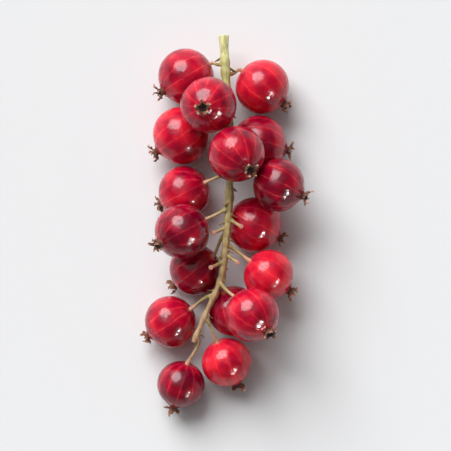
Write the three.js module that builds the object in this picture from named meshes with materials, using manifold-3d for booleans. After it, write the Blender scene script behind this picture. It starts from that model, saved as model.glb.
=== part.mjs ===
// A sprig of redcurrants, as picked, lying on a flat surface.
//
// Millimetres, +Z up. The sprig lies along Y, with its cut end towards +Y and its tip towards -Y, and the
// origin is on the surface it lies on, under the middle of the sprig.
//
// One grown piece is the stem: the main stem, the side stalks that carry the berries, and the small bract at
// the foot of each side stalk. Each berry is its own piece, and so is the dried flower (calyx) at its far end.
// The berries are laid down by a settling loop, so they touch each other, the stem and the surface, and never
// pass through them.
import * as THREE from "three";
import { mergeVertices } from "three/addons/utils/BufferGeometryUtils.js";
import Module from "manifold-3d";

// Gap kept between pieces that touch.
const CLEARANCE = 0.3;

// Berries: the diameter falls from the cut end to the tip, with a little spread between neighbours.
const BERRY_DIAMETER = 10.8;
const TIP_BERRY_DIAMETER = 9.2;
const BERRY_SPREAD = 0.04;
const BERRY_HEIGHT_SHARE = 0.96;
const BERRY_POLE_ANGLE = 12;
const BERRY_AXIS_TILT = 0.2;
const BERRY_SIDES = 16;
const BERRY_BANDS = 9;

// Dried flower: a short neck that opens into five ragged lobes.
const CALYX_LENGTH = 1.9;
const CALYX_RIM_RADIUS = 1.45;
const CALYX_NECK_RADIUS = 0.7;
const CALYX_LOBES = 5;
const CALYX_LOBE_SHARE = 0.16;

// Main stem: its length and its route from the cut end to the tip. Each point of the route is sideways, along,
// and rise over the bed of berries it lies on. The route is stretched to the length.
const STEM_LENGTH = 58.5;
const STEM_ROUTE = [
  [0.0, 0.0, -2.8],
  [0.3, -6.0, -1.9],
  [0.6, -11.5, -1.2],
  [1.1, -21.5, 0.2],
  [1.0, -30.5, 0.6],
  [0.3, -39.5, 0.4],
  [-0.6, -45.5, 0.0],
  [-3.2, -51.5, -0.9],
  [-5.6, -57.0, -2.0],
];
const BED_SHARE = 0.8;
const STEM_CUT_RADIUS = 0.8;
const STEM_TIP_RADIUS = 0.42;
const STEM_HEEL_SWELL = 0.2;
const STEM_HEEL_LENGTH = 1.6;
const STEM_NODE_SWELL = 0.2;
const STEM_NODE_LENGTH = 0.9;
const STEM_SIDES = 9;
const STEM_STEPS = 46;

// Side stalks: thick at the foot, thin in the middle, widened where the berry sits.
const STALK_LENGTH = 5.2;
const STALK_SLACK = 0.7;
const STALK_RADIUS = 0.3;
const STALK_FOOT_SWELL = 0.2;
const STALK_SEAT_SWELL = 0.16;
const STALK_LEAN = 28;
const STALK_SIDES = 6;
const STALK_STEPS = 7;

// Bracts: a pointed scale at the foot of each side stalk.
const BRACT_LENGTH = 1.5;
const BRACT_WIDTH = 1.0;
const BRACT_THICKNESS = 0.25;
const BRACT_LIFT = 40;

// Berries in order from the cut end. "at" is how far along the main stem the stalk leaves it, and "spot" is
// where the berry lies, sideways and along from the cut end. An upper berry lies on the others.
const BERRIES = [
  { at: 5.0, spot: [-7.0, -8.6] },
  { at: 7.0, spot: [7.0, -11.6] },
  { at: 10.4, spot: [-3.4, -15.0], upper: true },
  { at: 13.2, spot: [-9.0, -19.2] },
  { at: 15.8, spot: [5.6, -22.2] },
  { at: 18.2, spot: [4.8, -23.6], upper: true },
  { at: 24.4, spot: [10.8, -29.2] },
  { at: 25.6, spot: [-8.2, -29.4] },
  { at: 29.6, spot: [6.2, -35.6] },
  { at: 32.4, spot: [-6.8, -37.0], upper: true },
  { at: 37.2, spot: [-6.0, -43.2] },
  { at: 39.0, spot: [9.0, -44.2] },
  { at: 44.2, spot: [0.4, -50.4] },
  { at: 46.2, spot: [5.4, -53.4], upper: true },
  { at: 49.0, spot: [-9.6, -53.6] },
  { at: 53.4, spot: [1.4, -61.4] },
  { at: 57.4, spot: [-8.2, -65.6] },
];

// Stalks that have lost their berry. "turn" is the angle round the stem: 0 up, 90 to +X, -90 to -X.
const BARE_STALKS = [
  { at: 34.4, turn: 75 },
  { at: 36.0, turn: -70 },
  { at: 41.0, turn: 80 },
  { at: 42.4, turn: -60 },
];
const BARE_STALK_LENGTH = 4.0;
const BARE_STALK_CURL = 70;

// Settling: how many passes, how far a berry sinks in one pass, how strongly it is drawn to its spot, and the
// share of the passes over which both fade out. A stalk is kept clear of the berries at its sample points.
const SETTLE_PASSES = 1200;
const SETTLE_SINK = 0.05;
const SETTLE_DRAW = 0.02;
const SETTLE_FADE_SHARE = 0.75;
const STALK_SAMPLES = [0.35, 0.5, 0.65, 0.8, 0.95];

const UP = new THREE.Vector3(0, 0, 1);
const radians = THREE.MathUtils.degToRad;

const bed = BERRY_DIAMETER * BED_SHARE;
const routeLength = new THREE.CatmullRomCurve3(
  STEM_ROUTE.map(([x, y, rise]) => new THREE.Vector3(x, y, rise)),
).getLength();
const stretch = STEM_LENGTH / routeLength;
const stemCurve = new THREE.CatmullRomCurve3(
  STEM_ROUTE.map(([x, y, rise]) => new THREE.Vector3(x * stretch, y * stretch, bed + rise)),
);
const stemLength = stemCurve.getLength();
const shareAt = (at) => (at * stretch) / stemLength;
const nodeShares = [...BERRIES, ...BARE_STALKS].map(({ at }) => shareAt(at));

// A bump of height 1 at zero that fades over the given length.
const bump = (distance, length) => Math.exp(-((distance / length) ** 2));

// The main stem's radius at a share of its length: a taper, the heel at the cut end, a swelling at each stalk.
function stemRadius(share) {
  const taper = THREE.MathUtils.lerp(STEM_CUT_RADIUS, STEM_TIP_RADIUS, share);
  const heel = STEM_HEEL_SWELL * bump(share * stemLength, STEM_HEEL_LENGTH);
  const nodes = nodeShares.map((node) => bump((share - node) * stemLength, STEM_NODE_LENGTH));
  return taper + heel + STEM_NODE_SWELL * Math.max(...nodes);
}

// A side stalk's radius at a share of its length.
function stalkRadius(share) {
  const foot = STALK_FOOT_SWELL * bump(share, 0.25);
  const seat = STALK_SEAT_SWELL * bump(1 - share, 0.2);
  return STALK_RADIUS + foot + seat;
}

// Where a side stalk leaves the main stem, and the way it sets out: to the given side, leaning to the tip.
function stalkRoot(at, toward) {
  const share = shareAt(at);
  const along = stemCurve.getTangentAt(share);
  const out = toward.clone().addScaledVector(along, -toward.dot(along)).normalize();
  const way = new THREE.Vector3()
    .addScaledVector(out, Math.cos(radians(STALK_LEAN)))
    .addScaledVector(along, Math.sin(radians(STALK_LEAN)));
  return { point: stemCurve.getPointAt(share), radius: stemRadius(share), along, out, way };
}

function bareRoot({ at, turn }) {
  return stalkRoot(at, new THREE.Vector3(Math.sin(radians(turn)), 0, Math.cos(radians(turn))));
}

// A bare stalk curls upwards to its end.
function bareStalkCurve(root) {
  const turned = new THREE.Vector3()
    .addScaledVector(root.way, Math.cos(radians(BARE_STALK_CURL)))
    .addScaledVector(UP, Math.sin(radians(BARE_STALK_CURL)));
  const bend = root.point.clone().addScaledVector(root.way, BARE_STALK_LENGTH * 0.6);
  const end = bend.clone().addScaledVector(turned, BARE_STALK_LENGTH * 0.4);
  return new THREE.QuadraticBezierCurve3(root.point, bend, end);
}

// A fruiting stalk leaves the stem along its root's way and meets its berry along the berry's own axis.
function fruitStalkCurve(berry) {
  const { root, axis } = berry;
  const seat = seatOf(berry);
  return new THREE.CubicBezierCurve3(
    root.point,
    root.point.clone().addScaledVector(root.way, STALK_LENGTH * 0.45),
    seat.clone().addScaledVector(axis, -STALK_LENGTH * 0.35),
    seat,
  );
}

// Half the height of a berry between its two flat poles.
const poleHeight = (radius) => radius * BERRY_HEIGHT_SHARE * Math.cos(radians(BERRY_POLE_ANGLE));

// The end of a berry's stalk, a clearance short of the berry.
const seatOf = ({ centre, axis, radius }) =>
  centre.clone().addScaledVector(axis, -(poleHeight(radius) + CLEARANCE));

// The middle of a berry's dried flower.
const calyxOf = ({ centre, axis, radius }) =>
  centre.clone().addScaledVector(axis, poleHeight(radius) + CLEARANCE + CALYX_LENGTH / 2);

// The ball that a dried flower fits in.
const calyxReach = Math.hypot(CALYX_LENGTH / 2, CALYX_RIM_RADIUS * (1 + CALYX_LOBE_SHARE));

// The middle line of a bract, from its foot in the stem just before the stalk.
function bractLine({ point, radius, along, out }) {
  const foot = point
    .clone()
    .addScaledVector(out, radius - BRACT_THICKNESS)
    .addScaledVector(along, -STEM_NODE_LENGTH);
  const way = new THREE.Vector3()
    .addScaledVector(along, Math.cos(radians(BRACT_LIFT)))
    .addScaledVector(out, Math.sin(radians(BRACT_LIFT)));
  return { foot, way, tip: foot.clone().addScaledVector(way, BRACT_LENGTH) };
}

// Everything fixed that a berry may not enter, as small balls: the stem, its bracts and its bare stalks.
function stemObstacles(roots, bareRoots) {
  const balls = [];
  const steps = Math.ceil(stemLength);
  for (let step = 0; step <= steps; step += 1) {
    const share = step / steps;
    balls.push({ point: stemCurve.getPointAt(share), radius: stemRadius(share) });
  }
  for (const root of [...roots, ...bareRoots]) {
    balls.push({ point: bractLine(root).tip, radius: BRACT_THICKNESS });
  }
  for (const curve of bareRoots.map(bareStalkCurve)) {
    for (const share of STALK_SAMPLES) {
      balls.push({ point: curve.getPoint(share), radius: stalkRadius(share) });
    }
  }
  return balls;
}

// A berry before settling floats over its spot, turned away from its root and nearly level.
function floatBerry({ at, spot, upper }, index) {
  const diameter = THREE.MathUtils.lerp(BERRY_DIAMETER, TIP_BERRY_DIAMETER, shareAt(at));
  const radius = (diameter / 2) * (1 + BERRY_SPREAD * Math.sin(5 * index));
  const height = upper ? bed + BERRY_DIAMETER : radius;
  const centre = new THREE.Vector3(spot[0] * stretch, spot[1] * stretch, height);
  const toward = centre.clone().sub(stemCurve.getPointAt(shareAt(at)));
  const root = stalkRoot(at, toward);
  const axis = toward.setZ(toward.z * BERRY_AXIS_TILT).normalize();
  return { root, radius, centre, axis, target: centre.clone() };
}

// Moves two points apart until they are "apart" from each other. Each takes its share of the move.
function pushApart(a, b, apart, shareOfA, shareOfB) {
  const gap = new THREE.Vector3().subVectors(b, a);
  const distance = gap.length() || 1e-6;
  const short = apart - distance;
  if (short <= 0) return;
  gap.multiplyScalar(short / distance);
  a.addScaledVector(gap, -shareOfA);
  b.addScaledVector(gap, shareOfB);
}

// Keeps the end of a berry's stalk within reach of its root.
function holdByStalk({ root, seat }) {
  const line = new THREE.Vector3().subVectors(seat, root.point);
  const reach = THREE.MathUtils.clamp(line.length(), STALK_LENGTH * STALK_SLACK, STALK_LENGTH);
  seat.copy(root.point).addScaledVector(line.normalize(), reach);
}

// Puts the seat, centre and dried flower of a berry back on one line, at their own distances.
function straighten(berry) {
  const toSeat = poleHeight(berry.radius) + CLEARANCE;
  const toCalyx = toSeat + CALYX_LENGTH / 2;
  berry.axis.subVectors(berry.calyx, berry.seat).normalize();
  const middle = berry.centre.clone().multiplyScalar(2);
  middle.add(berry.seat).addScaledVector(berry.axis, toSeat);
  middle.add(berry.calyx).addScaledVector(berry.axis, -toCalyx);
  berry.centre.copy(middle.multiplyScalar(0.25));
  berry.seat.copy(berry.centre).addScaledVector(berry.axis, -toSeat);
  berry.calyx.copy(berry.centre).addScaledVector(berry.axis, toCalyx);
}

// Two berries and their dried flowers keep clear of each other.
function separatePair(one, two) {
  pushApart(one.centre, two.centre, one.radius + two.radius + CLEARANCE, 0.5, 0.5);
  pushApart(one.centre, two.calyx, one.radius + calyxReach + CLEARANCE, 0.2, 0.8);
  pushApart(one.calyx, two.centre, two.radius + calyxReach + CLEARANCE, 0.8, 0.2);
  pushApart(one.calyx, two.calyx, 2 * calyxReach + CLEARANCE, 0.5, 0.5);
}

// A berry stays clear of the stem, its bracts and its bare stalks.
function keepOffStem(berry, obstacles) {
  for (const { point, radius } of obstacles) {
    const apart = radius + CLEARANCE;
    pushApart(point, berry.centre, berry.radius + apart, 0, 1);
    pushApart(point, berry.calyx, calyxReach + apart, 0, 1);
  }
}

// One berry's stalk and the other berries keep clear of each other.
function keepOffStalk(owner, berries) {
  const curve = fruitStalkCurve(owner);
  for (const share of STALK_SAMPLES) {
    const sample = curve.getPoint(share);
    const thick = stalkRadius(share) + CLEARANCE;
    for (const other of berries) {
      if (other === owner) continue;
      const before = sample.clone();
      pushApart(sample, other.centre, other.radius + thick, 0.5, 0.5);
      pushApart(sample, other.calyx, calyxReach + thick, 0.5, 0.5);
      owner.seat.add(sample.clone().sub(before));
    }
  }
}

// The surface holds up the berry, its dried flower and the end of its stalk.
function keepOnFloor(berry) {
  berry.centre.z = Math.max(berry.centre.z, berry.radius);
  berry.calyx.z = Math.max(berry.calyx.z, calyxReach);
  berry.seat.z = Math.max(berry.seat.z, stalkRadius(1));
}

// Lets the berries sink and roll until each rests on the surface, the stem or other berries.
function settle(berries, obstacles) {
  for (const berry of berries) {
    berry.seat = seatOf(berry);
    berry.calyx = calyxOf(berry);
  }
  for (let pass = 0; pass < SETTLE_PASSES; pass += 1) {
    const left = Math.max(0, 1 - pass / (SETTLE_PASSES * SETTLE_FADE_SHARE));
    for (const berry of berries) {
      berry.centre.x += (berry.target.x - berry.centre.x) * SETTLE_DRAW * left;
      berry.centre.y += (berry.target.y - berry.centre.y) * SETTLE_DRAW * left;
      berry.centre.z -= SETTLE_SINK * left;
      holdByStalk(berry);
    }
    berries.forEach((one, index) => {
      berries.slice(index + 1).forEach((two) => separatePair(one, two));
    });
    for (const berry of berries) {
      keepOffStalk(berry, berries);
      keepOffStem(berry, obstacles);
      keepOnFloor(berry);
      straighten(berry);
    }
  }
}

// A berry: a flattened ball with a flat pole at each end, turned about its axis.
function berryGeometry(radius) {
  const height = radius * BERRY_HEIGHT_SHARE;
  const profile = [new THREE.Vector2(0, -poleHeight(radius))];
  for (let band = 0; band <= BERRY_BANDS; band += 1) {
    const angle = radians(
      THREE.MathUtils.lerp(BERRY_POLE_ANGLE, 180 - BERRY_POLE_ANGLE, band / BERRY_BANDS),
    );
    profile.push(new THREE.Vector2(radius * Math.sin(angle), -height * Math.cos(angle)));
  }
  profile.push(new THREE.Vector2(0, poleHeight(radius)));
  return new THREE.LatheGeometry(profile, BERRY_SIDES).rotateX(Math.PI / 2);
}

// A dried flower: a solid neck that opens into a shallow cup, whose rim runs out into lobes.
function calyxGeometry() {
  const rim = CALYX_RIM_RADIUS;
  const neck = CALYX_NECK_RADIUS;
  const outline = [
    [0, 0],
    [neck * 1.2, 0],
    [neck, 0.3],
    [rim, 0.92],
    [rim * 0.86, 1],
    [neck * 0.7, 0.5],
    [0, 0.42],
  ];
  const profile = outline.map(
    ([out, share]) => new THREE.Vector2(out, (share - 0.5) * CALYX_LENGTH),
  );
  const cup = new THREE.LatheGeometry(profile, 2 * CALYX_LOBES);
  const points = cup.getAttribute("position");
  for (let i = 0; i < points.count; i += 1) {
    const height = points.getY(i) / CALYX_LENGTH + 0.5;
    const angle = Math.atan2(points.getX(i), points.getZ(i));
    const swell = 1 + CALYX_LOBE_SHARE * height * Math.cos(CALYX_LOBES * angle);
    points.setX(i, points.getX(i) * swell);
    points.setZ(i, points.getZ(i) * swell);
  }
  return cup.rotateX(Math.PI / 2);
}

// A closed tube along a curve: the rings of a capped cylinder are carried to the curve, each with its radius.
function tubeAlong(curve, radiusAt, sides, steps) {
  const tube = new THREE.CylinderGeometry(1, 1, 1, sides, steps);
  const { normals, binormals } = curve.computeFrenetFrames(steps, false);
  const points = tube.getAttribute("position");
  for (let i = 0; i < points.count; i += 1) {
    const step = Math.round((0.5 - points.getY(i)) * steps);
    const share = step / steps;
    const radius = radiusAt(share);
    const moved = curve
      .getPointAt(share)
      .addScaledVector(normals[step], points.getX(i) * radius)
      .addScaledVector(binormals[step], points.getZ(i) * radius);
    points.setXYZ(i, moved.x, moved.y, moved.z);
  }
  return tube;
}

// A bract: a pointed scale, rooted in the stem just before its stalk and lying close along it.
function bractGeometry(root) {
  const half = BRACT_WIDTH / 2;
  const outline = new THREE.Shape();
  outline.moveTo(-half * 0.7, 0);
  outline.quadraticCurveTo(-half, BRACT_LENGTH * 0.6, 0, BRACT_LENGTH);
  outline.quadraticCurveTo(half, BRACT_LENGTH * 0.6, half * 0.7, 0);
  outline.closePath();
  const scale = new THREE.ExtrudeGeometry(outline, {
    depth: BRACT_THICKNESS,
    bevelEnabled: false,
    curveSegments: 2,
  });
  const { foot, way } = bractLine(root);
  const across = new THREE.Vector3().crossVectors(way, root.out).normalize();
  const face = new THREE.Vector3().crossVectors(across, way);
  return scale.applyMatrix4(new THREE.Matrix4().makeBasis(across, way, face).setPosition(foot));
}

const wasm = await Module();
wasm.setup();

// A geometry as a solid that can be joined.
function solidOf(geometry) {
  const bare = new THREE.BufferGeometry()
    .setAttribute("position", geometry.getAttribute("position"))
    .setIndex(geometry.index);
  const merged = mergeVertices(bare, 1e-4);
  return new wasm.Manifold(
    new wasm.Mesh({
      numProp: 3,
      vertProperties: merged.attributes.position.array,
      triVerts: new Uint32Array(merged.index.array),
    }),
  );
}

function geometryOf(solid) {
  const { vertProperties, triVerts } = solid.getMesh();
  return new THREE.BufferGeometry()
    .setAttribute("position", new THREE.BufferAttribute(vertProperties, 3))
    .setIndex(new THREE.BufferAttribute(triVerts, 1));
}

// The stem with its side stalks and bracts, joined into one solid.
function stemGeometry(berries, bareRoots) {
  const stalks = [...berries.map(fruitStalkCurve), ...bareRoots.map(bareStalkCurve)];
  const parts = [
    tubeAlong(stemCurve, stemRadius, STEM_SIDES, STEM_STEPS),
    ...stalks.map((curve) => tubeAlong(curve, stalkRadius, STALK_SIDES, STALK_STEPS)),
    ...[...berries.map(({ root }) => root), ...bareRoots].map(bractGeometry),
  ];
  return geometryOf(parts.map(solidOf).reduce((whole, part) => whole.add(part)));
}

const skin = new THREE.MeshStandardMaterial({ color: 0xb3101f, roughness: 0.22, metalness: 0 });
const bark = new THREE.MeshStandardMaterial({ color: 0xa9a24f, roughness: 0.6, metalness: 0 });
const husk = new THREE.MeshStandardMaterial({ color: 0x6b4a35, roughness: 0.85, metalness: 0 });

function namedMesh(name, geometry, material) {
  const mesh = new THREE.Mesh(geometry, material);
  mesh.name = name;
  return mesh;
}

const bareRoots = BARE_STALKS.map(bareRoot);
const berries = BERRIES.map(floatBerry);
settle(berries, stemObstacles(berries.map(({ root }) => root), bareRoots));

const sprig = new THREE.Group();
sprig.add(namedMesh("stem", stemGeometry(berries, bareRoots), bark));
berries.forEach((berry, index) => {
  const number = String(index + 1).padStart(2, "0");
  const turn = new THREE.Quaternion().setFromUnitVectors(UP, berry.axis);
  const fruit = namedMesh(`berry_${number}`, berryGeometry(berry.radius), skin);
  fruit.position.copy(berry.centre);
  fruit.quaternion.copy(turn);
  const flower = namedMesh(`calyx_${number}`, calyxGeometry(), husk);
  flower.position.copy(calyxOf(berry));
  flower.quaternion.copy(turn);
  sprig.add(fruit, flower);
});

// The origin goes under the middle of the sprig, on the surface.
const extent = new THREE.Box3().setFromObject(sprig, true);
const middle = extent.getCenter(new THREE.Vector3());
sprig.position.set(-middle.x, -middle.y, -extent.min.z);

export default sprig;
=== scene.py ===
"""Sprig of redcurrants: a picked sprig lying on a pale table, with its berries, dried flowers and stem.

Lengths in the tables are millimetres. Everything that is built is in metres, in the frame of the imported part.
"""

import bpy
import numpy as np
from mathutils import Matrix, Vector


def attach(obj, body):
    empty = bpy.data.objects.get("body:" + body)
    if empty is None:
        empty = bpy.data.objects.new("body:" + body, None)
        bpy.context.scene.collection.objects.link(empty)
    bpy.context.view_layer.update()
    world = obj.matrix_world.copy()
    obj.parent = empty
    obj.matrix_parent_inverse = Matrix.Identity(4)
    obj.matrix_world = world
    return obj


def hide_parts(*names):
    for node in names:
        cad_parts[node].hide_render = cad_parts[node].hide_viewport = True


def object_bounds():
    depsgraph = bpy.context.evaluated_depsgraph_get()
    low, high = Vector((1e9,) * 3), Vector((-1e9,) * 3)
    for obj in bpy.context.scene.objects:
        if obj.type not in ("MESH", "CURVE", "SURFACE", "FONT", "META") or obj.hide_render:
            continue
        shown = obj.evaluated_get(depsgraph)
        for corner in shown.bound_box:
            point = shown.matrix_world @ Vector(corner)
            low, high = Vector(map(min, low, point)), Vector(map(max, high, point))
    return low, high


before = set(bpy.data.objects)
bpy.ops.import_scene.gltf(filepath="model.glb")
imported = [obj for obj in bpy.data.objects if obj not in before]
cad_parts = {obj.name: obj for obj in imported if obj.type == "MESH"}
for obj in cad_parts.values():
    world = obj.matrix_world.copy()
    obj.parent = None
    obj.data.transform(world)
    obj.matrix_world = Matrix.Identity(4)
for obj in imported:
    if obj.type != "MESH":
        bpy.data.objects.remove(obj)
CAD_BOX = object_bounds()

bl_info = {
    "name": "Sprig of Redcurrants",
    "version": (1, 0, 0),
    "blender": (4, 5, 0),
    "location": "3D View > Sidebar > Redcurrants",
    "description": "Adds a picked sprig of ripe redcurrants and the table it lies on",
    "category": "Add Mesh",
}

MM = 0.001
UP = np.array([0.0, 0.0, 1.0])

# The main stem's route from the cut end to the tip: sideways, along, and rise.
STEM_LENGTH = 58.5
STEM_ROUTE = np.array([
    [0.0, 0.0, -2.8],
    [0.3, -6.0, -1.9],
    [0.6, -11.5, -1.2],
    [1.1, -21.5, 0.2],
    [1.0, -30.5, 0.6],
    [0.3, -39.5, 0.4],
    [-0.6, -45.5, 0.0],
    [-3.2, -51.5, -0.9],
    [-5.6, -57.0, -2.0],
])
# The stem tapers from the cut end to the tip. It swells at its heel and wherever a stalk leaves it.
CUT_RADIUS, TIP_RADIUS = 0.8, 0.42
HEEL_SWELL, HEEL_LENGTH = 0.2, 1.6
NODE_SWELL, NODE_LENGTH = 0.2, 0.9
# The hollowed cut face: the share of the radius left, and how deep it lies below the stem's end.
CUT_FACE = np.array([[0.2, 0.16], [0.5, 0.12], [0.8, 0.04]])

# Each fruiting stalk: how far along the stem it leaves, the berry's first spot sideways and along, upper or not.
BERRIES = np.array([
    [5.0, -7.0, -8.6, 0],
    [7.0, 7.0, -11.6, 0],
    [10.4, -3.4, -15.0, 1],
    [13.2, -9.0, -19.2, 0],
    [15.8, 5.6, -22.2, 0],
    [18.2, 4.8, -23.6, 1],
    [24.4, 10.8, -29.2, 0],
    [25.6, -8.2, -29.4, 0],
    [29.6, 6.2, -35.6, 0],
    [32.4, -6.8, -37.0, 1],
    [37.2, -6.0, -43.2, 0],
    [39.0, 9.0, -44.2, 0],
    [44.2, 0.4, -50.4, 0],
    [46.2, 5.4, -53.4, 1],
    [49.0, -9.6, -53.6, 0],
    [53.4, 1.4, -61.4, 0],
    [57.4, -8.2, -65.6, 0],
])
# Berries get smaller towards the tip, and each strays a little. The bed is the height that the route's rise is from.
BERRY_DIAMETER, TIP_BERRY_DIAMETER = 10.8, 9.2
BERRY_SPREAD = 0.04
BED = BERRY_DIAMETER * 0.8
# A berry's height from pole to pole, as a share of its width.
POLE_SHARE = 0.96
# The skin dips at both poles, and rises in a collar round the dried flower.
POLE_DIP_WIDTH, FLOWER_DIP = 0.9, 0.15
COLLAR_RADIUS, COLLAR_WIDTH, COLLAR_HEIGHT = 1.15, 0.3, 0.2

# Each bare stalk: how far along the stem it leaves, and its angle round the stem from straight up. It curls up by
# an angle from a bend at this share of its length.
BARE_STALKS = np.array([[34.4, 75.0], [36.0, -70.0], [41.0, 80.0], [42.4, -60.0]])
BARE_LENGTH, BARE_CURL, BARE_BEND = 4.0, 70.0, 0.6

# A stalk leans to the tip by an angle, is thicker at its foot, and widens to the seat that it ends in, in the berry.
# It keeps the ways that it starts and ends with for these shares of its length.
STALK_LENGTH, STALK_LEAN, STALK_RADIUS = 5.2, 28.0, 0.3
FOOT_SWELL, SEAT_SWELL, SEAT_DEPTH = 0.2, 0.16, 0.25
FOOT_PULL, SEAT_PULL = 0.45, 0.35
BRACT_LENGTH, BRACT_WIDTH, BRACT_THICKNESS, BRACT_CUP = 1.5, 1.0, 0.25, 0.12
BRACT_LIFT, BRACT_CURL = 40.0, 25.0
# How brown a dry bract is, and how many low ribs run along the stem.
BRACT_DRYNESS = 0.85
RIBS = 5

# The dried flower's cup, up its neck, out to its rim and down inside to its heart: out from the axis, height, and
# how far the paper has bleached, from 0 to 1.
CUP_PROFILE = np.array([
    [0.80, -0.16, 0.00],
    [0.92, 0.00, 0.30],
    [0.80, 0.20, 0.40],
    [0.66, 0.42, 0.30],
    [0.70, 0.62, 0.40],
    [0.90, 0.86, 0.60],
    [0.88, 0.94, 0.50],
    [0.72, 0.74, 0.20],
    [0.52, 0.52, 0.05],
    [0.24, 0.42, 0.00],
    [0.04, 0.40, 0.00],
])
# Where the lobes leave the cup, the height that their length is counted from, and how thick and wavy they are.
LOBE_FOOT_OUT, LOBE_FOOT_HEIGHT, RIM_HEIGHT = 0.78, 0.74, 0.7
LOBE_THICKNESS, LOBE_RIPPLE = 0.035, 0.07
# The angles that a lobe bends by along its length: two ways down and two ways up.
LOBE_BENDS = [-65, -35, 45, 90]
STAMENS = 5

# The size of each material's pattern.
SEED_SPACING, PORE_SPACING = 2.6, 0.9
RIB_SPACING, WRINKLE_SPACING = 0.3, 0.3

# The first numbers that the chance of each berry and each flower starts from.
BERRY_CHANCE, FLOWER_CHANCE = 100, 500

# How finely lines and tubes are drawn, and how many points are matched to them at a time.
SPAN_POINTS, STEM_POINTS, STALK_POINTS, BARE_POINTS, BRACT_POINTS = 200, 600, 46, 36, 14
STEM_COLUMNS, STALK_COLUMNS, BRACT_COLUMNS = 40, 20, 14
CHUNK = 4000

# Each light's heading from +X towards +Y, its elevation and how wide it looks, in degrees, and its strength. The
# soft lights' strength is a share of the window's setting.
SOFT_LIGHTS = {"window": (118, 42, 46, 0.85), "haze": (118, 50, 80, 0.15)}
LAMPS = {"lamp_left": (-60, 27, 5, 0.8), "lamp_right": (-42, 34, 7, 1.3)}
WINDOW_TINT = "#FBFCFF"

# The floor's half width and the camera's nearest reach, in metres, and the width of the camera's sensor.
FLOOR_EDGE, NEAREST = 4.0, 0.01
SENSOR_WIDTH = 36


# ----------------------------------------
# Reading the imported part


def corners(name):
    """The separate corners of a CAD node, in metres."""
    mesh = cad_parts[name].data
    flat = np.empty(len(mesh.vertices) * 3, np.float32)
    mesh.vertices.foreach_get("co", flat)
    return np.unique(flat.reshape(-1, 3).round(6), axis=0).astype(float)


def unit(vectors):
    """The vectors at length one."""
    return vectors / np.linalg.norm(vectors, axis=-1, keepdims=True)


def berry_places():
    """Each berry's centre, axis from its stalk to its dried flower, and radius across that axis."""
    places = []
    for number in range(1, len(BERRIES) + 1):
        points = corners(f"berry_{number:02d}")
        centre = points.mean(0)
        axis = unit(corners(f"calyx_{number:02d}").mean(0) - centre)
        out = points - centre
        radius = np.linalg.norm(out - (out @ axis)[:, None] * axis, axis=1).max()
        places.append((centre, axis, radius))
    return places


def cut_end():
    """The middle of the stem's cut end: the mean of its corners that reach furthest along +Y."""
    points = corners("stem")
    return points[points[:, 1] > points[:, 1].max() - 0.5 * MM].mean(0)


PLACES = berry_places()


# ----------------------------------------
# Curves


def smooth_route(points, count):
    """Evenly spaced points on the centripetal Catmull-Rom curve through the given points.

    In each span a cubic runs from point to point. Its end slopes come from the neighbours, each weighed by the
    square root of the distance to it.
    """
    ends = [2 * points[0] - points[1], 2 * points[-1] - points[-2]]
    knots = np.vstack([ends[:1], points, ends[1:]])
    gap = np.sqrt(np.linalg.norm(np.diff(knots, axis=0), axis=1))[:, None]
    before, start, finish, after = knots[:-3], knots[1:-2], knots[2:-1], knots[3:]
    g0, g1, g2 = gap[:-2], gap[1:-1], gap[2:]
    slope_a = g1 * ((start - before) / g0 - (finish - before) / (g0 + g1) + (finish - start) / g1)
    slope_b = g1 * ((finish - start) / g1 - (after - start) / (g1 + g2) + (after - finish) / g2)
    t = np.linspace(0, 1, SPAN_POINTS)[None, :, None]
    a, b, sa, sb = (x[:, None] for x in (start, finish, slope_a, slope_b))
    spans = a + sa * t + (3 * (b - a) - 2 * sa - sb) * t**2 + (2 * (a - b) + sa + sb) * t**3
    line = np.vstack([spans[:, :-1].reshape(-1, 3), points[-1]])
    return even_spacing(line, count)


def even_spacing(line, count):
    """The same line with evenly spaced points."""
    reach = np.concatenate([[0], np.cumsum(np.linalg.norm(np.diff(line, axis=0), axis=1))])
    even = np.linspace(0, reach[-1], count)
    return np.stack([np.interp(even, reach, line[:, axis]) for axis in range(3)], axis=1)


def bezier(points, count):
    """A Bezier curve: each control point weighed by its Bernstein polynomial, for 3 or 4 control points."""
    t = np.linspace(0, 1, count)[:, None]
    weights = {
        3: [(1 - t) ** 2, 2 * t * (1 - t), t**2],
        4: [(1 - t) ** 3, 3 * t * (1 - t) ** 2, 3 * t**2 * (1 - t), t**3],
    }[len(points)]
    return sum(weight * point for weight, point in zip(weights, points))


def bump(distance, length):
    """A bump of height one at zero that fades over the length."""
    return np.exp(-((distance / length) ** 2))


def for_each_ring(value, rows):
    """A column of one number for each ring, from one number or a row of them. A grid of numbers stays as it is."""
    return np.reshape(value * np.ones(rows), (-1, 1)) if np.ndim(value) < 2 else value


def sweep(path, wide, thick, columns, ref, tangent=None, cup=0.0, ripple=0.0):
    """Ovals carried along a path.

    Each ring is an oval in the plane across the path: its half width lies across both the path and the direction
    ref, and its half thickness lies across the path and the width. Cup lifts the oval's two sides by that much, and
    ripple lifts it in waves that run across it and along it.
    """
    tangent = unit(np.gradient(path, axis=0)) if tangent is None else tangent
    side = unit(np.cross(tangent, ref))
    lift = np.cross(side, tangent)
    turn = np.linspace(0, 2 * np.pi, columns, endpoint=False)
    wide, thick, cup = (for_each_ring(value, len(path)) for value in (wide, thick, cup))
    across = wide * np.cos(turn)
    waves = np.sin(5 * np.cos(turn) + np.linspace(0, 9, len(path))[:, None])
    along_lift = thick * np.sin(turn) + cup * np.cos(turn) ** 2 + ripple * waves
    return path[:, None] + across[..., None] * side[:, None] + along_lift[..., None] * lift[:, None]


# ----------------------------------------
# Surfaces and pieces


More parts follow.
